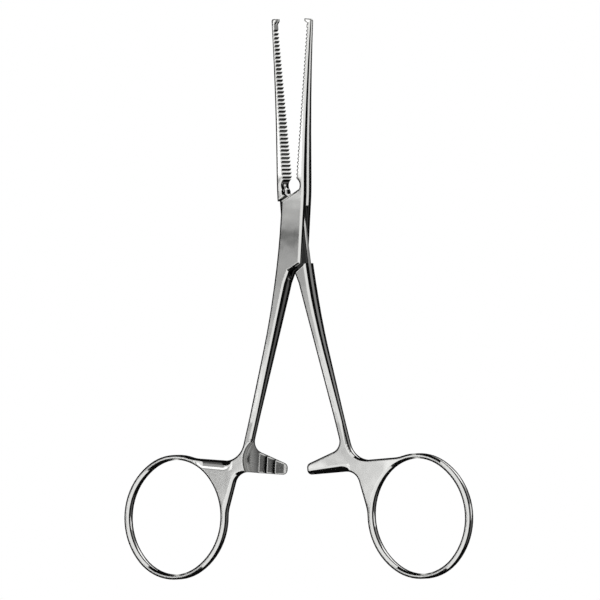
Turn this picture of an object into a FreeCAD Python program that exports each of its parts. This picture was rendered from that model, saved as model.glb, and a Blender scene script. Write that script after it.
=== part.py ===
import FreeCAD, Part
import math
import os
import re
import Sketcher

# Straight box-lock artery forceps with one tooth against two at the tips.
#
# Two forged halves cross in a box lock: the box half carries the slotted box, the right jaw and the
# left arm, the tenon half passes through the box and carries the left jaw and the right arm. A rivet
# pin ground flush with the box holds them and is the pivot.
#
# Millimetres. X runs to the right, Y towards the jaw tips, Z up towards the viewer. The origin is on
# the pivot axis, at the underside of the box lock. Each half is drawn with its jaws parallel, about
# the middle plane of the steel, and is then turned and lifted into the open rest pose.

Vector = FreeCAD.Vector

NEAR = 0.02         # places no further apart than this are one place
UPRIGHT = 0.9       # how far an edge of unit length rises, at least, where it stands upright
SHARP = 0.8         # cosine between the two faces of a sharp edge, at most
SMOOTH = 0.998      # and between two faces that run on into each other, at least
SLIVER = 1e-6       # cubic mm that a cut takes, at least
BEYOND = 1          # mm by which the outline of a cut stands clear of the steel

SIZES = {
    # rest pose
    "open_angle": 8.1,          # between the halves at rest, counted from parallel jaws
    # box lock
    "box_thick": 5.1,
    "box_width": 5.9,
    "lock_slope": 35.0,         # of the slanting box edges and shoulders, in degrees
    "lock_reach": 7.8,          # pivot to a slanting box edge
    "jaw_gap": 0.25,            # slanting box edge to the shoulder below the left jaw
    "arm_gap": 0.6,             # and to the one above the right arm
    "tenon_thick": 1.9,
    "tenon_trim": 0.9,          # the tenon's corners are trimmed back from the box edges
    "slot_clear": 0.05,         # each side of the tenon
    "slot_end_gap": 0.3,
    "slot_foot_above": 0.6,     # from the foot of the arm's neck to the foot of the slot
    "slot_foot_place": 0.67,
    "tenon_crotch": 0.35,
    "crotch": 0.1,              # crotch of the arms, from the middle line
    "pin_radius": 1.2,
    "pin_clear": 0.03,          # round the pin in the tenon
    # jaws
    "jaw_reach": 52.4,
    "jaw_face": 0.85,           # toothed face to the middle line, jaws parallel
    "jaw_relief": 1.54,         # foot of the relief behind the toothed face
    "relief_high": 2.5,
    "relief_radius": 1.9,
    "relief_blend": 0.6,
    "jaw_bend_from": 7.8,       # where the outer edge leaves the side of the box
    "jaw_bend": 60.0,
    "jaw_tip_wide": 0.78,
    "jaw_tip_thick": 2.15,
    "jaw_taper_gap": 1.8,       # from the first groove to where the jaws start to get thinner
    "jaw_corner": 0.45,
    "taper_bend": 80.0,
    # cross grooves on the jaw faces
    "groove_pitch": 0.95,
    "groove_depth": 0.3,
    "groove_land": 0.12,
    # interlocking teeth at the tips
    "tooth_long": 1.3,
    "tooth_high": 1.1,          # the single tooth
    "pair_high": 0.55,          # the two teeth that it slips between
    "tooth_thick": 0.6,
    "tooth_clear": 0.07,
    # arms
    "arm_corner": 12.9,         # where the lines of box side and arm would meet
    "arm_lean": 10.6,
    "arm_bend": 182.0,
    "arm_neck": 1.1,
    "neck_long": 3.0,           # from the crotch to the foot of the neck
    "neck_blend": 6.0,
    "arm_taper_from": 15.0,
    "arm_taper_foot": 11.0,     # above the ratchet bar
    "web_blend": 5.2,           # where the arm turns out to the ring
    "armpit_out": 1.07,         # from the arm's outer edge to where the bar turns down to the ring
    "armpit_blend": 3.4,
    "ring_blend": 8.0,
    # ratchet
    "bar_tip": 0.9,             # past the middle line
    "bar_top": 57.0,
    "bar_high": 2.6,            # at the tip
    "bar_slope": 18.5,
    "bar_blend": 2.8,
    "bar_nose": 1.2,
    "ratchet_pitch": 2.24,
    "ratchet_depth": 0.7,
    "ratchet_crest": 0.1,       # crests stand past the middle plane
    "ratchet_first": 2.09,      # first crest to the middle line
    "ratchet_teeth": 3,
    "scoop_above": 5.0,         # from the bar's top to the upper end of the scoop
    "scoop_wide": 1.83,         # from the innermost crest to the ends of the scoop's arc
    "scoop_radius": 6.0,
    # finger rings
    "ring_out": 17.0,           # ring centre from the arm's outer edge
    "ring_drop": 12.3,          # ring centre below the bar
    "ring_tilt": 4.0,
    "ring_thick": 2.9,
    "ring_hole_wide": 25.1,
    "ring_hole_high": 28.3,
    "ring_end_radius": 11.2,    # of the hole's upper and lower arcs
    "ring_wall": 1.22,
    "edge_bevel": 0.35,         # all along the front and back edges
}

document = FreeCAD.newDocument("artery_forceps")
sheet = document.addObject("Spreadsheet::Sheet", "Sizes")
for row, (alias, value) in enumerate(SIZES.items(), start=1):
    sheet.set(f"A{row}", alias.replace("_", " "))
    sheet.set(f"B{row}", str(value))
    sheet.setAlias(f"B{row}", alias)
document.recompute()


def expression(text):
    """A formula of plain size names, with each name written as its cell of the sheet."""
    return re.sub(r"[a-z_]+", lambda word: f"Sizes.{word[0]}" if word[0] in SIZES else word[0], text)


def value(text):
    """What a formula gives now, as a number."""
    result = sheet.evalExpression(expression(text))
    return getattr(result, "Value", result)


def origin_plane(body, role):
    return next(item for item in body.Origin.OriginFeatures if item.Role == role)


def new_sketch(body, name, role="XY_Plane"):
    sketch = body.newObject("Sketcher::SketchObject", name)
    sketch.AttachmentSupport = [(origin_plane(body, role), "")]
    sketch.MapMode = "FlatFace"
    return sketch


def arc_between(start, end, radius, left):
    """The short arc from start to end, bulging to the left of that way or to the right."""
    chord = end - start
    reach = chord.Length / 2
    across = Vector(-chord.y, chord.x, 0).normalize() * (1 if left else -1)
    rise = radius - math.sqrt(radius ** 2 - reach ** 2)
    return Part.Arc(start, (start + end) / 2 + across * rise, end)


def draw_outline(sketch, corners, side=1):
    """A closed outline. Each corner is x, y and, where the edge after it is an arc, its radius
    and whether it bulges to the left. Side -1 draws the mirror image in x."""
    places = [Vector(side * value(corner[0]), value(corner[1]), 0) for corner in corners]
    first = sketch.GeometryCount
    ends = []
    for index, corner in enumerate(corners):
        start, end = places[index], places[(index + 1) % len(places)]
        if len(corner) == 4:
            left = corner[3] == (side > 0)
            sketch.addGeometry(arc_between(start, end, value(corner[2]), left), False)
            ends.append((2, 1) if left else (1, 2))
        else:
            sketch.addGeometry(Part.LineSegment(start, end), False)
            ends.append((1, 2))
    for index, corner in enumerate(corners):
        line, (at, away) = first + index, ends[index]
        following = (index + 1) % len(corners)
        meeting = (line, away, first + following, ends[following][0])
        sketch.addConstraint(Sketcher.Constraint("Coincident", *meeting))
        for kind, text, number in (
            ("DistanceX", f"{side} * ( {corner[0]} )", places[index].x),
            ("DistanceY", corner[1], places[index].y),
        ):
            rule = sketch.addConstraint(Sketcher.Constraint(kind, -1, 1, line, at, number))
            sketch.setExpression(f"Constraints[{rule}]", expression(text))
        if len(corner) == 4:
            rule = sketch.addConstraint(Sketcher.Constraint("Radius", line, value(corner[2])))
            sketch.setExpression(f"Constraints[{rule}]", expression(corner[2]))


def draw_circle(sketch, radius):
    circle = sketch.addGeometry(Part.Circle(Vector(0, 0, 0), Vector(0, 0, 1), value(radius)), False)
    sketch.addConstraint(Sketcher.Constraint("Coincident", circle, 3, -1, 1))
    rule = sketch.addConstraint(Sketcher.Constraint("Radius", circle, value(radius)))
    sketch.setExpression(f"Constraints[{rule}]", expression(radius))


def pad(body, name, sketch, length):
    """Steel of the given thickness, half of it on each side of the sketch."""
    feature = body.newObject("PartDesign::Pad", name)
    feature.Profile = sketch
    feature.SideType = "Symmetric"
    feature.setExpression("Length", expression(length))
    document.recompute()
    return feature


def cut(body, name, sketch, length=None, side_type="Symmetric", reverse=False):
    """Takes the sketch out of the body, all through or to a length, and checks that it cut."""
    before = body.Shape.Volume
    feature = body.newObject("PartDesign::Pocket", name)
    feature.Profile = sketch
    feature.SideType = side_type
    feature.Reversed = reverse
    if length is None:
        feature.Type = "ThroughAll"
    else:
        feature.Type = "Length"
        feature.setExpression("Length", expression(length))
    document.recompute()
    if not body.Shape.Volume < before - SLIVER:
        raise RuntimeError(f"{body.Label}: {name} cut nothing")
    return feature


def dress(body, name, size, test, kind="Fillet"):
    """A fillet or a chamfer on the edges that pass the test."""
    names = edges_where(body, test)
    if not names:
        raise RuntimeError(f"{body.Label}: {name} found no edge")
    base = body.Tip
    feature = body.newObject(f"PartDesign::{kind}", name)
    feature.Base = (base, names)
    feature.setExpression("Radius" if kind == "Fillet" else "Size", expression(size))
    document.recompute()


def edges_where(body, test):
    names = []
    for index, edge in enumerate(body.Shape.Edges, start=1):
        halfway = (edge.FirstParameter + edge.LastParameter) / 2
        if test(edge, edge.valueAt(halfway), edge.tangentAt(halfway)):
            names.append(f"Edge{index}")
    return names


def standing_at(x, y):
    """Test for an upright edge at a corner of the plan."""
    def test(edge, middle, along):
        return abs(along.z) > UPRIGHT and math.hypot(middle.x - x, middle.y - y) < NEAR
    return test


def faces_meet(body, edge, middle):
    """Cosine of the angle between the normals of the two faces beside an edge."""
    beside = [face for face in body.Shape.Faces if any(edge.isSame(other) for other in face.Edges)]
    normals = [face.normalAt(*face.Surface.parameter(middle)) for face in beside]
    return abs(normals[0].dot(normals[1])) if len(normals) == 2 else 1


def rim_edge(body, side):
    """Test for a sharp edge round the front or the back, but not beside the toothed face."""
    def test(edge, middle, along):
        inside = abs(middle.z) < value("jaw_tip_thick") / 2 - NEAR
        toothed = middle.y > value(JAW_ROOT) and abs(side * middle.x - value("jaw_face")) < NEAR
        if abs(along.z) > UPRIGHT or inside or toothed:
            return False
        return faces_meet(body, edge, middle) < SHARP
    return test


def web_edge(body, side):
    """Test for an upright edge where the web runs into the outside of the ring."""
    def test(edge, middle, along):
        beyond_arm = -side * middle.x > value(ARMPIT)
        return abs(along.z) > UPRIGHT and beyond_arm and faces_meet(body, edge, middle) < SMOOTH
    return test


def slant(reach, x, up=1):
    """Height at x of a line at the given distance from the pivot, rising with x (or falling with
    up -1) at the slope of the box edges."""
    tangent = f"tan(lock_slope * 1deg) * ({x})"
    return f"({reach}) / cos(lock_slope * 1deg) + {up} * {tangent}"


BOX_SIDE = "box_width / 2"

# The outer edge of the jaw bends off the side of the box and then back, parallel to its face.
JAW_ROOT = f"({slant('lock_reach', 'jaw_relief')} + relief_high)"
JAW_TIP = "jaw_face + jaw_tip_wide"
JAW_TURN = f"(2 * atan(({BOX_SIDE} - {JAW_TIP.replace('+', '-')}) / (jaw_reach - jaw_bend_from)))"
JAW_EDGE = f"{BOX_SIDE} - jaw_bend * (1 - cos({JAW_TURN}))"
JAW_EDGE_FROM = f"jaw_bend_from + jaw_bend * sin({JAW_TURN})"
JAW_HOLLOW = f"(jaw_reach - ({JAW_EDGE_FROM})) / sin({JAW_TURN})"
JAW_TAPER_FROM = f"({JAW_ROOT} + jaw_taper_gap)"

# The arm's two edges, its bar and its ring.
ARM_TURN = "arm_lean * 1deg"
ARM_RUN = f"arm_bend * tan({ARM_TURN} / 2)"
NECK_FOOT = f"({slant('lock_reach', 'crotch')} + neck_long)"
SLOT_FOOT = f"({NECK_FOOT} - slot_foot_above)"
BAR_FOOT = "(bar_top + bar_high)"
RING_DOWN = f"({BAR_FOOT} + ring_drop)"
RING_TOP = f"ring_hole_high / 2 + ring_wall / 2 - {RING_DOWN}"
WEB_CORNER = f"{BOX_SIDE} - tan({ARM_TURN}) * ({RING_TOP} + arm_corner)"
ARMPIT = f"({WEB_CORNER} + armpit_out)"
RING_ACROSS = f"({WEB_CORNER} + ring_out)"
RING_SIDE = f"ring_hole_wide / 2 + ring_wall / 2 - {RING_ACROSS}"
BAR_TURN = "bar_slope * 1deg"
BAR_CORNER = (
    f"(arm_neck + tan({ARM_TURN}) * (bar_top - {NECK_FOOT} - bar_tip * tan({BAR_TURN})))"
    f" / (1 + tan({ARM_TURN}) * tan({BAR_TURN}))"
)
BAR_RISE = f"({BAR_CORNER} + bar_tip) * tan({BAR_TURN}) - bar_top"

HALF_PLAN = [
    ("jaw_face", "jaw_reach"),
    ("jaw_face", JAW_ROOT, "relief_radius", True),
    ("jaw_relief", slant("lock_reach", "jaw_relief")),
    (f"-{BOX_SIDE}", slant("lock_reach", f"-{BOX_SIDE}")),
    (f"-{BOX_SIDE}", f"{ARM_RUN} - arm_corner", "arm_bend", True),
    (f"-{BOX_SIDE} - {ARM_RUN} * sin({ARM_TURN})", f"-arm_corner - {ARM_RUN} * cos({ARM_TURN})"),
    (f"-({WEB_CORNER})", RING_TOP),
    (f"-{RING_ACROSS}", RING_TOP),
    (f"-{RING_ACROSS}", f"-{RING_DOWN}"),
    (RING_SIDE, f"-{RING_DOWN}"),
    (f"-{ARMPIT}", f"-{BAR_FOOT}"),
    ("bar_tip", f"-{BAR_FOOT}"),
    ("bar_tip", "-bar_top"),
    (f"-({BAR_CORNER})", BAR_RISE),
    ("-arm_neck", f"-{NECK_FOOT}"),
    ("-crotch", slant("-lock_reach", "-crotch")),
    (BOX_SIDE, slant("-lock_reach", BOX_SIDE)),
    (BOX_SIDE, "jaw_bend_from", "jaw_bend", False),
    (JAW_EDGE, JAW_EDGE_FROM, JAW_HOLLOW, True),
    (JAW_TIP, "jaw_reach"),
]


def forged_half(name, side):
    """Jaw, lock block, arm, ratchet bar and finger ring as one forging, before the lock is cut.
    Side 1 has its jaw on the right and side -1 on the left."""
    body = document.addObject("PartDesign::Body", name)
    body.Label = name
    plan = new_sketch(body, f"{name}_plan")
    draw_outline(plan, HALF_PLAN, side)
    pad(body, f"{name}_blank", plan, "box_thick")
    for corner, x, y, radius in (
        ("web", f"-({WEB_CORNER})", RING_TOP, "web_blend"),
        ("armpit", f"-{ARMPIT}", f"-{BAR_FOOT}", "armpit_blend"),
        ("bar_root", f"-({BAR_CORNER})", BAR_RISE, "bar_blend"),
        ("bar_low", "bar_tip", f"-{BAR_FOOT}", "bar_nose"),
        ("bar_high", "bar_tip", "-bar_top", "bar_nose"),
        ("neck", "-arm_neck", f"-{NECK_FOOT}", "neck_blend"),
        ("relief_foot", "jaw_relief", slant("lock_reach", "jaw_relief"), "relief_blend"),
        ("jaw_nose", JAW_TIP, "jaw_reach", "jaw_corner"),
    ):
        dress(body, f"{name}_{corner}", radius, standing_at(side * value(x), value(y)))
    thin_out(body, name)
    add_ring(body, name, side)
    dress(body, f"{name}_rim", "edge_bevel", rim_edge(body, side), "Chamfer")
    return body


def thin_out(body, name):
    """Both faces slope towards the middle plane, along the jaw and along the arm."""
    jaw_incline = f"atan((box_thick - jaw_tip_thick) / 2 / (jaw_reach - {JAW_TAPER_FROM}))"
    arm_foot = "(bar_top - arm_taper_foot)"
    arm_incline = f"atan((box_thick - ring_thick) / 2 / ({arm_foot} - arm_taper_from))"
    run = "taper_bend * tan(({0}) / 2)"
    jaw_run, arm_run = run.format(jaw_incline), run.format(arm_incline)
    profile = new_sketch(body, f"{name}_thickness", "YZ_Plane")
    for face in (1, -1):
        rising = face > 0
        draw_outline(profile, [
            (f"{JAW_TAPER_FROM} - {jaw_run}", f"{face} * box_thick / 2", "taper_bend", rising),
            (
                f"{JAW_TAPER_FROM} + {jaw_run} * cos({jaw_incline})",
                f"{face} * (box_thick / 2 - {jaw_run} * sin({jaw_incline}))",
            ),
            ("jaw_reach", f"{face} * jaw_tip_thick / 2"),
            (f"jaw_reach + {BEYOND}", f"{face} * jaw_tip_thick / 2"),
            (f"jaw_reach + {BEYOND}", f"{face} * box_thick"),
            (f"{JAW_TAPER_FROM} - {jaw_run}", f"{face} * box_thick"),
        ])
        draw_outline(profile, [
            (f"-arm_taper_from + {arm_run}", f"{face} * box_thick / 2", "taper_bend", not rising),
            (
                f"-arm_taper_from - {arm_run} * cos({arm_incline})",
                f"{face} * (box_thick / 2 - {arm_run} * sin({arm_incline}))",
            ),
            (
                f"-{arm_foot} + {arm_run} * cos({arm_incline})",
                f"{face} * (ring_thick / 2 + {arm_run} * sin({arm_incline}))",
                "taper_bend",
                rising,
            ),
            (f"-{arm_foot} - {arm_run}", f"{face} * ring_thick / 2"),
            (f"-{RING_DOWN} - {BEYOND}", f"{face} * ring_thick / 2"),
            (f"-{RING_DOWN} - {BEYOND}", f"{face} * box_thick"),
            (f"-arm_taper_from + {arm_run}", f"{face} * box_thick"),
        ])
    cut(body, f"{name}_thinned", profile)


def draw_oval(sketch, offset):
    """Four arcs round the sketch's origin, outside the finger hole by the offset."""
    wide, high, end = "ring_hole_wide / 2", "ring_hole_high / 2", "ring_end_radius"
    flank = f"(({wide})^2 + ({high})^2 - 2 * {high} * {end}) / (2 * ({wide} - {end}))"
    spread = f"({flank} - {end})"
    across = f"({flank} - {wide}) * ({end} + {offset}) / {spread}"
    up = f"({flank} + {offset}) * ({high} - {end}) / {spread}"
    draw_outline(sketch, [
        (across, up, f"{end} + {offset}", False),
        (f"-({across})", up, f"{flank} + {offset}", False),
        (f"-({across})", f"-({up})", f"{end} + {offset}", False),
        (across, f"-({up})", f"{flank} + {offset}", False),
    ])


def add_ring(body, name, side):
    for part, offset in (("ring", "ring_wall"), ("ring_hole", "0")):
        sketch = new_sketch(body, f"{name}_{part}_oval")
        sketch.setExpression("AttachmentOffset.Base.x", expression(f"{-side} * {RING_ACROSS}"))
        sketch.setExpression("AttachmentOffset.Base.y", expression(f"-{RING_DOWN}"))
        sketch.setExpression("AttachmentOffset.Rotation.Angle", expression(f"{-side} * ring_tilt * 1deg"))
        draw_oval(sketch, offset)
        if part == "ring":
            pad(body, f"{name}_{part}", sketch, "ring_thick")
            dress(body, f"{name}_ring_blend", "ring_blend", web_edge(body, side))
        else:
            cut(body, f"{name}_{part}", sketch)


def offset_sketch(body, name, height, role="XY_Plane"):
    sketch = new_sketch(body, name, role)
    sketch.setExpression("AttachmentOffset.Base.z", expression(height))
    return sketch


def cut_slot(body):
    """The window through the box that the tenon turns in, open at both sides of the box."""
    end = "lock_reach - tenon_trim + slot_end_gap"
    sketch = new_sketch(body, "slot_plan")
    draw_outline(sketch, [
        ("box_width", slant(end, "box_width", -1)),
        ("-box_width", slant(end, "-box_width", -1)),
        ("-box_width", slant(f"-({end})", f"-{BOX_SIDE}", -1)),
        (f"-{BOX_SIDE}", slant(f"-({end})", f"-{BOX_SIDE}", -1)),
        ("-slot_foot_place", f"-{SLOT_FOOT}"),
        ("box_width", f"-{SLOT_FOOT}"),
    ])
    cut(body, "slot", sketch, "tenon_thick + 2 * slot_clear")


def cut_tenon(body, side):
    """The thin middle that passes through the slot, between two slanting shoulders."""
    jaw_shoulder, arm_shoulder = "lock_reach + jaw_gap", "lock_reach + arm_gap"
    reach = "(lock_reach - tenon_trim)"
    for face, reverse in ((1, True), (-1, False)):
        cheek = offset_sketch(body, "tenon_cheek", f"{face} * tenon_thick / 2")
        draw_outline(cheek, [
            ("-box_width", slant(jaw_shoulder, "-box_width", -1)),
            ("box_width", slant(jaw_shoulder, "box_width", -1)),
            ("box_width", slant(f"-({arm_shoulder})", "box_width", -1)),
            ("-box_width", slant(f"-({arm_shoulder})", "-box_width", -1)),
        ], side)
        cut(body, "tenon_side", cheek, None, "One side", reverse)
    trim = new_sketch(body, "tenon_trim")
    draw_outline(trim, [
        ("-box_width", slant(reach, "-box_width")),
        ("jaw_relief", slant(reach, "jaw_relief")),
        ("jaw_relief", slant("lock_reach", "jaw_relief")),
        ("-box_width", slant("lock_reach", "jaw_relief")),
    ], side)
    draw_outline(trim, [
        ("box_width", slant(f"-{reach}", "box_width")),
        ("-tenon_crotch", slant(f"-{reach}", "-tenon_crotch")),
        ("-tenon_crotch", f"-{NECK_FOOT}"),
        ("box_width", f"-{NECK_FOOT}"),
    ], side)
    cut(body, "tenon_corners", trim)


def cut_ratchet(body, name, side):
    """Half the thickness of the bar is cut away and the rest is toothed: on the front of the box
    half and on the back of the tenon half. The teeth are steep towards their own arm."""
    root = "ratchet_crest - ratchet_depth"
    innermost = "-ratchet_first - (ratchet_teeth - 1) * ratchet_pitch"
    scoop_edge, scoop_top = f"{innermost} - scoop_wide", "scoop_above - bar_top"
    low = f"-{BAR_FOOT} - bar_nose"
    end, clear = f"bar_tip + {BEYOND}", f"ratchet_crest + {BEYOND}"
    for part, height, edge in (("bar_face", "ratchet_crest", end), ("scoop", root, innermost)):
        sketch = offset_sketch(body, f"{name}_{part}_plan", f"{side} * ({height})")
        draw_outline(sketch, [
            (scoop_edge, scoop_top, "scoop_radius", False),
            (scoop_edge, low),
            (edge, low),
            (edge, scoop_top),
        ], side)
        cut(body, f"{name}_{part}", sketch, None, "One side", side > 0)
    toothed = f"({scoop_top} - ({low}))"
    teeth = offset_sketch(body, f"{name}_teeth_profile", f"{toothed} / 2 - ({scoop_top})", "XZ_Plane")
    corners = []
    for tooth in range(int(value("ratchet_teeth")) - 1, -1, -1):
        corners.append((f"-ratchet_first - {tooth} * ratchet_pitch", f"{side} * ratchet_crest"))
        corners.append((f"-ratchet_first - {tooth - 1} * ratchet_pitch", f"{side} * ({root})"))
    corners += [
        (end, f"{side} * ({root})"),
        (end, f"{side} * ({clear})"),
        (innermost, f"{side} * ({clear})"),
    ]
    draw_outline(teeth, corners, side)
    cut(body, f"{name}_teeth", teeth, toothed)


def tooth_plan(high, root):
    """A tooth that stands out of the toothed face at the tip, rooted in the jaw behind it."""
    low = "jaw_reach - tooth_long"
    return [
        (f"jaw_face + {root}", low),
        ("jaw_face", low),
        (f"jaw_face - {high}", "jaw_reach - pair_high"),
        (f"jaw_face - {high}", "jaw_reach"),
        (f"jaw_face + {root}", "jaw_reach"),
    ]


def notch_plan(high):
    """The same outline as the tooth that comes in from the other jaw, with its clearance."""
    low = "jaw_reach - tooth_long - tooth_clear"
    return [
        (f"jaw_face - {BEYOND}", low),
        ("jaw_face", low),
        (f"jaw_face + {high} + tooth_clear", "jaw_reach - pair_high - tooth_clear"),
        (f"jaw_face + {high} + tooth_clear", f"jaw_reach + {BEYOND}"),
        (f"jaw_face - {BEYOND}", f"jaw_reach + {BEYOND}"),
    ]


def cut_tips(body, name, side):
    """The box half has one tooth in the middle of its tip, between two recesses, and the tenon half
    two teeth beside a notch. They slip into each other when the jaws close."""
    notch, tooth = new_sketch(body, f"{name}_notch_plan"), new_sketch(body, f"{name}_tooth_plan")
    if side > 0:
        draw_outline(notch, notch_plan("pair_high"), side)
        cut(body, f"{name}_notch", notch)
        draw_outline(tooth, tooth_plan("tooth_high", "jaw_tip_wide - tooth_clear"), side)
        pad(body, f"{name}_tooth", tooth, "tooth_thick")
    else:
        draw_outline(tooth, tooth_plan("pair_high", "jaw_tip_wide - edge_bevel"), side)
        pad(body, f"{name}_tooth", tooth, "jaw_tip_thick")
        draw_outline(notch, notch_plan("tooth_high"), side)
        cut(body, f"{name}_notch", notch, "tooth_thick + 2 * tooth_clear")


def cut_grooves(body, name, side):
    """Cross grooves along the toothed face. Those of the two jaws are half a pitch apart, so that
    ridge meets groove."""
    at, mouth = f"{JAW_ROOT} + groove_pitch * (2 + {side}) / 4", "(groove_pitch - groove_land) / 2"
    count = f"floor((jaw_reach - tooth_long - {JAW_ROOT}) / groove_pitch - 1 / 2)"
    sketch = new_sketch(body, f"{name}_groove_plan")
    draw_outline(sketch, [
        ("jaw_face - groove_depth", f"{at} - {mouth}"),
        ("jaw_face", f"{at} - {mouth}"),
        ("jaw_face + groove_depth", at),
        ("jaw_face", f"{at} + {mouth}"),
        ("jaw_face - groove_depth", f"{at} + {mouth}"),
    ], side)
    groove = cut(body, f"{name}_groove", sketch)
    before = body.Shape.Volume
    row = body.newObject("PartDesign::LinearPattern", f"{name}_grooves")
    row.Originals = [groove]
    row.Direction = (origin_plane(body, "Y_Axis"), [""])
    row.setExpression("Length", expression(f"groove_pitch * ({count} - 1)"))
    row.setExpression("Occurrences", expression(count))
    body.Tip = row
    document.recompute()
    if not body.Shape.Volume < before:
        raise RuntimeError(f"{body.Label}: the grooves did not repeat")


def bore(body, name, radius):
    sketch = new_sketch(body, f"{name}_bore_circle")
    draw_circle(sketch, radius)
    cut(body, f"{name}_bore", sketch)


def set_down(body, side):
    """Opens a half about the pivot and lifts it so that the box rests on its underside."""
    body.setExpression("Placement.Rotation.Angle", expression(f"{-side} * open_angle / 2 * 1deg"))
    body.setExpression("Placement.Base.z", expression("box_thick / 2"))


def box_half():
    body = forged_half("box_half", 1)
    cut_slot(body)
    bore(body, "box", "pin_radius")
    cut_ratchet(body, "box_half", 1)
    cut_tips(body, "box_half", 1)
    cut_grooves(body, "box_half", 1)
    set_down(body, 1)
    return body


def tenon_half():
    body = forged_half("tenon_half", -1)
    cut_tenon(body, -1)
    bore(body, "tenon", "pin_radius + pin_clear")
    cut_ratchet(body, "tenon_half", -1)
    cut_tips(body, "tenon_half", -1)
    cut_grooves(body, "tenon_half", -1)
    set_down(body, -1)
    return body


def hinge_pin():
    """The rivet, ground flush with both faces of the box."""
    body = document.addObject("PartDesign::Body", "hinge_pin")
    body.Label = "hinge_pin"
    sketch = new_sketch(body, "pin_circle")
    draw_circle(sketch, "pin_radius")
    pad(body, "pin", sketch, "box_thick")
    set_down(body, 1)
    return body


pieces = [box_half(), tenon_half(), hinge_pin()]
document.recompute()

for item in document.Objects:
    if "Invalid" in item.State or "Error" in item.State:
        raise RuntimeError(f"{item.Name} did not build: {item.State}")
for piece in pieces:
    if piece.Shape.isNull() or not piece.Shape.isValid() or len(piece.Shape.Solids) != 1:
        raise RuntimeError(f"{piece.Label} is not one sound solid")

os.makedirs("parts", exist_ok=True)
for piece in pieces:
    piece.Shape.exportStep(f"parts/{piece.Label}.step")
    print(piece.Label, round(piece.Shape.Volume, 1), "cubic mm")
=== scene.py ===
import math
import bpy
import numpy as np
from mathutils import Matrix, Vector

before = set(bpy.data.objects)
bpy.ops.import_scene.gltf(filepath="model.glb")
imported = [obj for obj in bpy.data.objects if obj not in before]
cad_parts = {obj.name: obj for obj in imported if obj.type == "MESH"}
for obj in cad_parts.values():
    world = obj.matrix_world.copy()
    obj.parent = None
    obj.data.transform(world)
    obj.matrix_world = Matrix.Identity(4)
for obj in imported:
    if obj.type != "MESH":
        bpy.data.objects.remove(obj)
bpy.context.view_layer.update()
mm = 0.001
print("frame loaded")

# Where the photograph was taken from: high above the instrument and to its right.
view = {
    "azimuthDeg": 26.0,  # from straight above towards +X
    "rollDeg": 0.65,
    "framedWidth": 147.0 * mm,  # what the picture's width covers at the instrument
    "centreRight": 1.10 * mm,  # picture centre from the pivot, along the picture's right
    "centreUp": -16.66 * mm,
    "midPlane": 2.55 * mm,
    "lens": 1000.0,  # a long lens, since the photograph shows next to no perspective
    "sensor": 36.0,
    "clipEnd": 10.0,
}


def addCamera():
    # the camera's right, up and back axes, then its distance from similar triangles of sensor and subject
    turn, roll = math.radians(view["azimuthDeg"]), math.radians(view["rollDeg"])
    back = Vector((math.sin(turn), 0, math.cos(turn)))
    level = Vector((math.cos(turn), 0, -math.sin(turn)))
    along = Vector((0, 1, 0))
    right = level * math.cos(roll) - along * math.sin(roll)
    up = along * math.cos(roll) + level * math.sin(roll)
    aim = Vector((0, 0, view["midPlane"])) + level * view["centreRight"] + along * view["centreUp"]
    camera = bpy.data.objects.new("Camera", bpy.data.cameras.new("Camera"))
    camera.data.lens = view["lens"]
    camera.data.sensor_width = view["sensor"]
    distance = view["framedWidth"] * view["lens"] / view["sensor"]
    axes = Matrix((right, up, back)).transposed().to_4x4()
    camera.matrix_world = Matrix.Translation(aim + back * distance) @ axes
    camera.data.clip_end = view["clipEnd"]
    bpy.context.scene.collection.objects.link(camera)
    bpy.context.scene.camera = camera


addCamera()
print("camera placed")


def linearColour(hexColour):
    # each sRGB channel turned to linear light
    channels = [int(hexColour[i:i + 2], 16) / 255 for i in (1, 3, 5)]
    return [c / 12.92 if c <= 0.04045 else ((c + 0.055) / 1.055) ** 2.4 for c in channels] + [1.0]


def addNode(tree, kind, settings=None, links=None):
    # one node, its properties or socket values, and what feeds its sockets
    node = tree.nodes.new(kind)
    for name, value in (settings or {}).items():
        if isinstance(name, str) and hasattr(node, name):
            setattr(node, name, value)
        else:
            node.inputs[name].default_value = value
    for name, source in (links or {}).items():
        tree.links.new(source, node.inputs[name])
    return node


def newMaterial(name):
    material = bpy.data.materials.new(name)
    material.use_nodes = True
    material.node_tree.nodes.clear()
    return material, material.node_tree


# Martensitic stainless steel, ground and then polished: a bright mirror, a little blurred, with the
# fine lengthwise lines of the polishing wheel and slow waves that make its reflections swim.
polished = {
    "colour": "#dededc",
    "roughness": 0.085,
    "roughnessSpread": 0.03,
    "lineSpacing": 0.12 * mm,  # real lines are near 0.02 mm, drawn coarser so that they show
    "lineLength": 9.0 * mm,
    "lineHeight": 0.02 * mm,
    "lineBump": 0.02,
    "waveSize": 5.0 * mm,
    "waveHeight": 0.1 * mm,
    "waveBump": 0.25,
    "edgeRadius": 0.45 * mm,  # the wheel rounds every edge off a little more than the model
    "edgeTurn": 2.0,  # and turns the flat beside it this much further over than an even blend would
    "edgeSamples": 12,
    "rivetInner": 1.7 * mm,  # but not the seam of the rivet, which is ground flush and hardly shows
    "rivetOuter": 2.3 * mm,
    "ringNear": 64.0 * mm,  # the rings are rounded more, from this far off the pivot
    "ringFar": 70.0 * mm,
    "ringRound": 1.9,
    "crown": 0.23,  # the sides are left bulged, by this share of the half thickness
    "boxCrown": 0.13 * mm,  # and the box face is left bulged along its length
    "boxCrownLong": 9.0 * mm,
}

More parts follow.
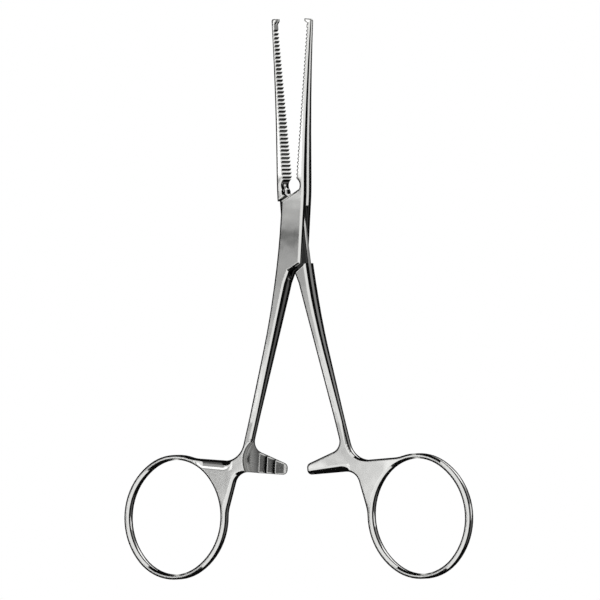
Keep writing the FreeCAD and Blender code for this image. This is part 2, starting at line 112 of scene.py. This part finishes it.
# Where hand finishing rolled an edge off in a broad band: from which point and which way it falls, how
# wide, how steep at the edge, between which x and over what length it fades, in mm but for the slope.
rolledEdges = {
    "leftWebTop": {
        "from": (-20, -58.6), "towards": (0.09, 1), "wide": 3.0, "slope": 0.64,
        "fromX": -28, "toX": -17, "fade": 3,
    },
    "rightBarFoot": {
        "from": (4, -58.0), "towards": (0.13, -1), "wide": 1.7, "slope": 1.2,
        "fromX": 1, "toX": 15, "fade": 3,
    },
}

# The half thickness of the steel along Y, as the model tapers, for the bulge of the sides.
taper = {
    "midPlane": 2.55 * mm,
    "lock": 2.55 * mm,  # half thickness at the lock
    "jawFrom": 14.9 * mm,
    "jawTo": 52.4 * mm,
    "jawTip": 1.075 * mm,  # at the tips of the jaws
    "armFrom": -15.0 * mm,
    "armTo": -46.0 * mm,
    "ring": 1.45 * mm,  # at the foot of the arms and round the rings
}


def sideBulge(tree, place):
    # height falls with the square of the distance from the middle plane, measured in half thicknesses
    split = addNode(tree, "ShaderNodeSeparateXYZ", {}, {0: place.outputs["Object"]})
    jaw = addNode(tree, "ShaderNodeMapRange", {
        "From Min": taper["jawFrom"], "From Max": taper["jawTo"],
        "To Min": taper["lock"], "To Max": taper["jawTip"],
    }, {"Value": split.outputs["Y"]})
    arm = addNode(tree, "ShaderNodeMapRange", {
        "From Min": taper["armFrom"], "From Max": taper["armTo"],
        "To Min": taper["lock"], "To Max": taper["ring"],
    }, {"Value": split.outputs["Y"]})
    half = addNode(tree, "ShaderNodeMath", {"operation": "MINIMUM"}, {0: jaw.outputs[0], 1: arm.outputs[0]})
    away = addNode(tree, "ShaderNodeMath", {"operation": "SUBTRACT", 1: taper["midPlane"]}, {
        0: split.outputs["Z"],
    })
    squared = addNode(tree, "ShaderNodeMath", {"operation": "MULTIPLY"}, {
        0: away.outputs[0], 1: away.outputs[0],
    })
    share = addNode(tree, "ShaderNodeMath", {"operation": "DIVIDE"}, {
        0: squared.outputs[0], 1: half.outputs[0],
    })
    return addNode(tree, "ShaderNodeMath", {"operation": "MULTIPLY", 1: -polished["crown"]}, {
        0: share.outputs[0],
    })


def boxBulge(tree, place):
    # a low bell along Y, highest at the pivot: the exponential of minus the square of y over its length
    split = addNode(tree, "ShaderNodeSeparateXYZ", {}, {0: place.outputs["Object"]})
    share = addNode(tree, "ShaderNodeMath", {"operation": "DIVIDE", 1: polished["boxCrownLong"]}, {
        0: split.outputs["Y"],
    })
    squared = addNode(tree, "ShaderNodeMath", {"operation": "MULTIPLY"}, {
        0: share.outputs[0], 1: share.outputs[0],
    })
    minus = addNode(tree, "ShaderNodeMath", {"operation": "MULTIPLY", 1: -1.0}, {0: squared.outputs[0]})
    bell = addNode(tree, "ShaderNodeMath", {"operation": "EXPONENT"}, {0: minus.outputs[0]})
    return addNode(tree, "ShaderNodeMath", {"operation": "MULTIPLY", 1: polished["boxCrown"]}, {
        0: bell.outputs[0],
    })


def rolledHeight(tree, place, roll):
    # height falls with the square of the way past the point, and fades out at both ends
    split = addNode(tree, "ShaderNodeSeparateXYZ", {}, {0: place.outputs["Object"]})
    begin = (roll["from"][0] * roll["towards"][0] + roll["from"][1] * roll["towards"][1]) * mm
    way = addNode(tree, "ShaderNodeVectorMath", {"operation": "DOT_PRODUCT", 1: (*roll["towards"], 0)}, {
        0: place.outputs["Object"],
    })
    past = addNode(tree, "ShaderNodeMapRange", {
        "From Min": begin, "From Max": begin + roll["wide"] * mm, "To Min": 0.0, "To Max": 1.0,
    }, {"Value": way.outputs["Value"]})
    height = addNode(tree, "ShaderNodeMath", {"operation": "MULTIPLY"}, {
        0: past.outputs[0], 1: past.outputs[0],
    })
    for edge, inward in (("fromX", 1), ("toX", -1)):
        window = addNode(tree, "ShaderNodeMapRange", {
            "interpolation_type": "SMOOTHSTEP", "From Min": roll[edge] * mm,
            "From Max": (roll[edge] + inward * roll["fade"]) * mm, "To Min": 0.0, "To Max": 1.0,
        }, {"Value": split.outputs["X"]})
        height = addNode(tree, "ShaderNodeMath", {"operation": "MULTIPLY"}, {
            0: height.outputs[0], 1: window.outputs[0],
        })
    deep = -roll["slope"] * roll["wide"] / 2 * mm
    return addNode(tree, "ShaderNodeMath", {"operation": "MULTIPLY", 1: deep}, {0: height.outputs[0]})


def roundedEdges(tree, place, radius):
    # the edge radius fades out round the rivet and grows towards the rings
    level = addNode(tree, "ShaderNodeVectorMath", {"operation": "MULTIPLY", 1: (1, 1, 0)}, {
        0: place.outputs["Object"],
    })
    away = addNode(tree, "ShaderNodeVectorMath", {"operation": "LENGTH"}, {0: level.outputs[0]})
    size = addNode(tree, "ShaderNodeMapRange", {
        "From Min": polished["rivetInner"], "From Max": polished["rivetOuter"],
        "To Min": 0.0, "To Max": radius,
    }, {"Value": away.outputs["Value"]})
    growth = addNode(tree, "ShaderNodeMapRange", {
        "From Min": polished["ringNear"], "From Max": polished["ringFar"],
        "To Min": 1.0, "To Max": polished["ringRound"],
    }, {"Value": away.outputs["Value"]})
    grown = addNode(tree, "ShaderNodeMath", {"operation": "MULTIPLY"}, {
        0: size.outputs[0], 1: growth.outputs[0],
    })
    bevel = addNode(tree, "ShaderNodeBevel", {"samples": polished["edgeSamples"]}, {
        "Radius": grown.outputs[0],
    })
    return bevel.outputs[0]


def plainNormal(tree, place):
    # the model's own normal
    return addNode(tree, "ShaderNodeNewGeometry").outputs["Normal"]


def sideNormal(tree, place):
    bulge = sideBulge(tree, place)
    return addNode(tree, "ShaderNodeBump", {"Strength": 1.0, "Distance": 1.0}, {
        "Height": bulge.outputs[0],
    }).outputs[0]


def flatNormal(tree, place):
    # the flat's normal plus edgeTurn times the way to its blended normal, so that it meets the bevel's,
    # and then the bulge of the box and the rolled edges on top
    plain = plainNormal(tree, place)
    blended = roundedEdges(tree, place, polished["edgeRadius"])
    change = addNode(tree, "ShaderNodeVectorMath", {"operation": "SUBTRACT"}, {0: blended, 1: plain})
    turned = addNode(tree, "ShaderNodeVectorMath", {"operation": "SCALE", "Scale": polished["edgeTurn"]}, {
        0: change.outputs[0],
    })
    summed = addNode(tree, "ShaderNodeVectorMath", {"operation": "ADD"}, {0: plain, 1: turned.outputs[0]})
    even = addNode(tree, "ShaderNodeVectorMath", {"operation": "NORMALIZE"}, {0: summed.outputs[0]})
    height = boxBulge(tree, place)
    for roll in rolledEdges.values():
        height = addNode(tree, "ShaderNodeMath", {"operation": "ADD"}, {
            0: height.outputs[0], 1: rolledHeight(tree, place, roll).outputs[0],
        })
    return addNode(tree, "ShaderNodeBump", {"Strength": 1.0, "Distance": 1.0}, {
        "Height": height.outputs[0], "Normal": even.outputs[0],
    }).outputs[0]


def polishedSteel(name, normalOf):
    material, tree = newMaterial(name)
    place = addNode(tree, "ShaderNodeTexCoord")
    stretch = addNode(tree, "ShaderNodeMapping", {
        "Scale": (1 / polished["lineSpacing"], 1 / polished["lineLength"], 1 / polished["lineSpacing"]),
    }, {"Vector": place.outputs["Object"]})
    lines = addNode(tree, "ShaderNodeTexNoise", {"Scale": 1.0, "Detail": 3.0}, {"Vector": stretch.outputs[0]})
    waves = addNode(tree, "ShaderNodeTexNoise", {
        "Scale": 1 / polished["waveSize"], "Detail": 1.0,
    }, {"Vector": place.outputs["Object"]})
    low = polished["roughness"] - polished["roughnessSpread"]
    high = polished["roughness"] + polished["roughnessSpread"]
    rough = addNode(tree, "ShaderNodeMapRange", {"To Min": low, "To Max": high}, {"Value": lines.outputs[0]})
    waved = addNode(tree, "ShaderNodeBump", {
        "Strength": polished["waveBump"], "Distance": polished["waveHeight"],
    }, {"Height": waves.outputs[0], "Normal": normalOf(tree, place)})
    lined = addNode(tree, "ShaderNodeBump", {
        "Strength": polished["lineBump"], "Distance": polished["lineHeight"],
    }, {"Height": lines.outputs[0], "Normal": waved.outputs[0]})
    steel = addNode(tree, "ShaderNodeBsdfPrincipled", {
        "Base Color": linearColour(polished["colour"]), "Metallic": 1.0,
    }, {"Roughness": rough.outputs[0], "Normal": lined.outputs[0]})
    addNode(tree, "ShaderNodeOutputMaterial", {}, {"Surface": steel.outputs[0]})
    return material


# The ratchet, the slot and the shoulders are left as the cutter made them: grey, dull, with cutter lines, and
# with shade painted into their colour.
cutSteel = {
    "colour": "#c4c4c2",
    "roughness": 0.16,
    "edgeRadius": 0.55 * mm,
    "lineSpacing": 0.09 * mm,
    "lineLength": 2.5 * mm,
    "lineHeight": 0.02 * mm,
    "lineBump": 0.25,
    "cornerPaintedShade": "#161616",  # painted shade: the occluded corners at the feet of the teeth are painted this black
    "cornerReach": 1.2 * mm,
    "cornerSamples": 12,
    "cornerBlack": 0.84,  # how open to the air a place is where the painted shade is black, and where it is gone
    "cornerBright": 0.98,
    "recessPaintedPale": "#a8a8a6",  # painted shade: the flat beside the ratchet is painted darker from this
    "recessPaintedShade": "#3a3a3a",  # to this at the first tooth, and the inside of the lock is painted all this dark
    "recessFrom": 10.4 * mm,
    "recessTo": 14.6 * mm,
}


def cornerShade(tree, place):
    # painted shade: the occlusion of the corners at the feet of the teeth, which paints them black
    corner = addNode(tree, "ShaderNodeAmbientOcclusion", {
        "samples": cutSteel["cornerSamples"], "Distance": cutSteel["cornerReach"],
    })
    return addNode(tree, "ShaderNodeMapRange", {
        "From Min": cutSteel["cornerBlack"], "From Max": cutSteel["cornerBright"],
    }, {"Value": corner.outputs["AO"]})


def recessShade(tree, place):
    # painted shade: dark inside the lock, and darker towards the first tooth on the flat beside the ratchet
    split = addNode(tree, "ShaderNodeSeparateXYZ", {}, {0: place.outputs["Object"]})
    aside = addNode(tree, "ShaderNodeMath", {"operation": "ABSOLUTE"}, {0: split.outputs["X"]})
    return addNode(tree, "ShaderNodeMapRange", {
        "From Min": cutSteel["recessFrom"], "From Max": cutSteel["recessTo"],
    }, {"Value": aside.outputs[0]})


def groundSteel(name, shadeOf, dark, light):
    material, tree = newMaterial(name)
    place = addNode(tree, "ShaderNodeTexCoord")
    stretch = addNode(tree, "ShaderNodeMapping", {
        "Scale": (1 / cutSteel["lineSpacing"], 1 / cutSteel["lineLength"], 1 / cutSteel["lineSpacing"]),
    }, {"Vector": place.outputs["Object"]})
    lines = addNode(tree, "ShaderNodeTexNoise", {"Scale": 1.0, "Detail": 2.0}, {"Vector": stretch.outputs[0]})
    lined = addNode(tree, "ShaderNodeBump", {
        "Strength": cutSteel["lineBump"], "Distance": cutSteel["lineHeight"],
    }, {"Height": lines.outputs[0], "Normal": roundedEdges(tree, place, cutSteel["edgeRadius"])})
    # painted shade: the base colour runs from the dark paint to the light one along the shade mask
    paint = addNode(tree, "ShaderNodeMix", {
        "data_type": "RGBA", 6: linearColour(dark), 7: linearColour(light),
    }, {0: shadeOf(tree, place).outputs[0]})
    steel = addNode(tree, "ShaderNodeBsdfPrincipled", {
        "Metallic": 1.0, "Roughness": cutSteel["roughness"],
    }, {"Base Color": paint.outputs[2], "Normal": lined.outputs[0]})
    addNode(tree, "ShaderNodeOutputMaterial", {}, {"Surface": steel.outputs[0]})
    return material


# Which faces are which: by the way they look and by where they lie.
faceRules = {
    "uprightBelow": 0.3,  # a side's normal rises no more than this
    "bevelBelow": 0.95,  # a bevel's no more than this
    "toothedFrom": 12.0 * mm,  # the serrations begin past this y
    "frontAbove": 3.8 * mm,  # flat faces between these heights are cuts, those outside are front and back
    "backBelow": 1.3 * mm,
    "ratchetRight": 15.0 * mm,  # the cut faces of the ratchets lie within this of the middle line
    "ratchetTop": -49.0 * mm,
    "ratchetFoot": -62.0 * mm,
    "firstCrest": 10.6 * mm,  # and the teeth within this
    "lockReach": 11.0 * mm,  # the faces inside the lock lie within this of the pivot, along Y
}


def dressHalf(nodeName, toothedFacing, materials):
    # each face's finish from its normal and centre, where a later rule overrides an earlier one
    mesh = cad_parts[nodeName].data
    mesh.materials.clear()
    for material in materials.values():
        mesh.materials.append(material)
    count = len(mesh.polygons)
    normals, centres = np.empty(count * 3, np.float32), np.empty(count * 3, np.float32)
    mesh.polygons.foreach_get("normal", normals)
    mesh.polygons.foreach_get("center", centres)
    normals, centres = normals.reshape(-1, 3), centres.reshape(-1, 3)
    rise, aside = np.abs(normals[:, 2]), np.abs(centres[:, 0])
    along, height = centres[:, 1], centres[:, 2]
    upright = rise < faceRules["uprightBelow"]
    toothed = upright & (along > faceRules["toothedFrom"]) & (normals[:, 0] * toothedFacing > 0)
    inside = (height < faceRules["frontAbove"]) & (height > faceRules["backBelow"]) & ~upright
    lock = np.abs(along) < faceRules["lockReach"]
    ratchet = (along < faceRules["ratchetTop"]) & (along > faceRules["ratchetFoot"])
    ratchet &= aside < faceRules["ratchetRight"]
    order = list(materials)
    index = np.full(count, order.index("flat"), np.int32)
    for finish, where in (
        ("bevel", rise < faceRules["bevelBelow"]),
        ("side", upright),
        ("toothed", toothed),
        ("teeth", inside & ratchet),
        ("recess", inside & (lock | ratchet & (aside > faceRules["firstCrest"]))),
    ):
        index[where] = order.index(finish)
    mesh.polygons.foreach_set("material_index", index)
    mesh.update()


# The four polished finishes differ only in how the wheel left the shape of their faces.
finishes = {
    "flat": polishedSteel("polishedStainlessFlat", flatNormal),
    "bevel": polishedSteel("polishedStainlessBevel", plainNormal),
    "side": polishedSteel("polishedStainlessSide", sideNormal),
    "toothed": polishedSteel("polishedStainlessToothed", plainNormal),
    "teeth": groundSteel("groundStainlessPaintedCornerShade", cornerShade, cutSteel["cornerPaintedShade"], cutSteel["colour"]),
    "recess": groundSteel("dullStainlessPaintedShade", recessShade, cutSteel["recessPaintedShade"], cutSteel["recessPaintedPale"]),
}
dressHalf("box_half", -1, finishes)
dressHalf("tenon_half", 1, finishes)
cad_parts["hinge_pin"].data.materials.clear()
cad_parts["hinge_pin"].data.materials.append(finishes["flat"])
print("steel done")

# The studio: white all round, with painted boards far below and above that only the steel's
# reflections show. An upright side mirrors the lower board at twice its own angle round Z.
studio = {
    "boardDepth": 1.0,  # below the instrument, in metres like the other bare lengths here
    "boardPaint": "#101010",  # nearly black, on the lower board and the fence
    "boardGap": 0.01,  # the patches lie this far above the board
    "boardSize": 8.0,
    "patchFrom": 0.2,  # the patches' inner and outer edge, from the middle of the board
    "patchTo": 0.74,
    "patchPoints": 9,
    "upperCard": 400.0 * mm,  # the cards' height
    "cloudDrop": 1.0 * mm,  # the cloud hangs this far below the card behind it
    "fenceRadius": 1.5,  # a black fence stands round it all
    "fenceTop": 1.5,  # high on the left, where it blackens the left and top edges
    "fenceLowTop": -0.05,  # and low on the right, up to just below the instrument
    "fenceFromDeg": 75,  # the high stretch runs from here, round -X
    "fenceToDeg": 285,
    "fenceStepDeg": 15,
}

# patches of the lower board: from and to in degrees round Z, paint, brightness
lowerPatches = {
    "jawSidePatch": (-12, 12, "#f0f0f0", 1.0),
    "leftArmPatch": (-50, -12, "#5a5a5a", 1.0),
    "rightArmPatch": (12, 50, "#8c8c8c", 1.0),
    "streakPatch": (50, 112, "#ffffff", 1.2),
}

# Cards above the instrument: x from, to, y from, to in mm, paint, brightness. A flat face shows the
# camera the card about 193 mm to its left; a jaw's front, which slopes, the one 31 mm further up, and an
# arm's the one 28 mm further down.
upperCards = {
    "boxCard": (-300, -90, -22, 20, "#b8b8b8", 1.0),
    "boxCloud": (-215, -175, -8, 4, "#5c5c5c", 1.0),  # the dark cloud in the middle of the box
    "jawCard": (-300, -90, 27, 110, "#ffffff", 1.6),
    "jawFadeCard": (-300, -90, 20, 27, "#d4d4d4", 1.0),
    "armFadeTop": (-224, -166, -55, -22, "#bebebe", 1.0),
    "armFadeFoot": (-212, -182, -62, -55, "#dcdcdc", 1.0),
    "armCard": (-212, -182, -100, -62, "#ffffff", 1.4),
    "leftWebCard": (-224, -218, -68, -55, "#848484", 1.0),
    "leftWebLight": (-218, -212, -68, -55, "#b4b4b4", 1.0),
    "leftWebFoot": (-224, -212, -100, -68, "#606060", 1.0),
    "leftWebSoft": (-300, -206, 110, 260, "#a8a8a8", 1.0),  # this and the next show in the rolled edge
    "leftWebShade": (-300, -206, 260, 560, "#5c5c5c", 1.0),
    "rightWebCard": (-182, -166, -100, -55, "#dcdcdc", 1.0),
    "leftRingCard": (-300, -224, -120, -22, "#ffffff", 1.3),
    "rightRingCard": (-166, -90, -120, -22, "#ffffff", 1.3),
    "ratchetCard": (-40, 180, -110, -40, "#444444", 1.0),  # shows in the slopes of the ratchet teeth
}


def flatCard(name, corners):
    mesh = bpy.data.meshes.new(name)
    mesh.from_pydata([Vector(c) for c in corners], [], [tuple(range(len(corners)))])
    card = bpy.data.objects.new(name, mesh)
    bpy.context.scene.collection.objects.link(card)
    return card


def levelCard(name, x0, x1, y0, y1, z):
    return flatCard(name, [(x0, y0, z), (x1, y0, z), (x1, y1, z), (x0, y1, z)])


def reflectionOnly(card):
    card.visible_camera = False
    card.visible_diffuse = False
    card.visible_shadow = False
    card.visible_transmission = False


def glowing(name, colour, strength):
    material, tree = newMaterial(name)
    light = addNode(tree, "ShaderNodeEmission", {"Color": linearColour(colour), "Strength": strength})
    addNode(tree, "ShaderNodeOutputMaterial", {}, {"Surface": light.outputs[0]})
    return material


def addWorld():
    world = bpy.data.worlds.new("studio")
    bpy.context.scene.world = world
    world.use_nodes = True
    tree = world.node_tree
    tree.nodes.clear()
    back = addNode(tree, "ShaderNodeBackground", {"Color": (1, 1, 1, 1), "Strength": 1.0})
    addNode(tree, "ShaderNodeOutputWorld", {}, {"Surface": back.outputs[0]})


def addLowerBoard(paint):
    half, depth = studio["boardSize"] / 2, -studio["boardDepth"]
    board = levelCard("lowerBoard", -half, half, -half, half, depth - studio["boardGap"])
    board.data.materials.append(paint)
    reflectionOnly(board)
    for name, (start, end, colour, strength) in lowerPatches.items():
        steps = np.radians(np.linspace(start, end, studio["patchPoints"]))
        inner = [(studio["patchFrom"] * math.cos(a), studio["patchFrom"] * math.sin(a), depth) for a in steps]
        outer = [(studio["patchTo"] * math.cos(a), studio["patchTo"] * math.sin(a), depth) for a in steps]
        patch = flatCard(name, inner + outer[::-1])
        patch.data.materials.append(glowing(name + "Paint", colour, strength))
        reflectionOnly(patch)


def addFence(paint):
    # upright panels in a ring, each between two angles
    radius, depth = studio["fenceRadius"], -studio["boardDepth"]
    first, step = studio["fenceFromDeg"], studio["fenceStepDeg"]
    for number, start in enumerate(range(first, first + 360, step)):
        top = studio["fenceTop"] if start + step <= studio["fenceToDeg"] else studio["fenceLowTop"]
        (x0, y0), (x1, y1) = [
            (radius * math.cos(t), radius * math.sin(t)) for t in np.radians((start, start + step))
        ]
        panel = flatCard(f"fence{number}", [(x0, y0, depth), (x1, y1, depth), (x1, y1, top), (x0, y0, top)])
        panel.data.materials.append(paint)
        reflectionOnly(panel)


def addUpperCards():
    for name, (x0, x1, y0, y1, colour, strength) in upperCards.items():
        drop = studio["cloudDrop"] if name == "boxCloud" else 0.0
        card = levelCard(name, x0 * mm, x1 * mm, y0 * mm, y1 * mm, studio["upperCard"] - drop)
        card.data.materials.append(glowing(name + "Paint", colour, strength))
        reflectionOnly(card)


addWorld()
blackPaint = glowing("blackBoard", studio["boardPaint"], 1.0)
addLowerBoard(blackPaint)
addFence(blackPaint)
addUpperCards()
bpy.context.scene.view_settings.view_transform = "Standard"
print("studio done")
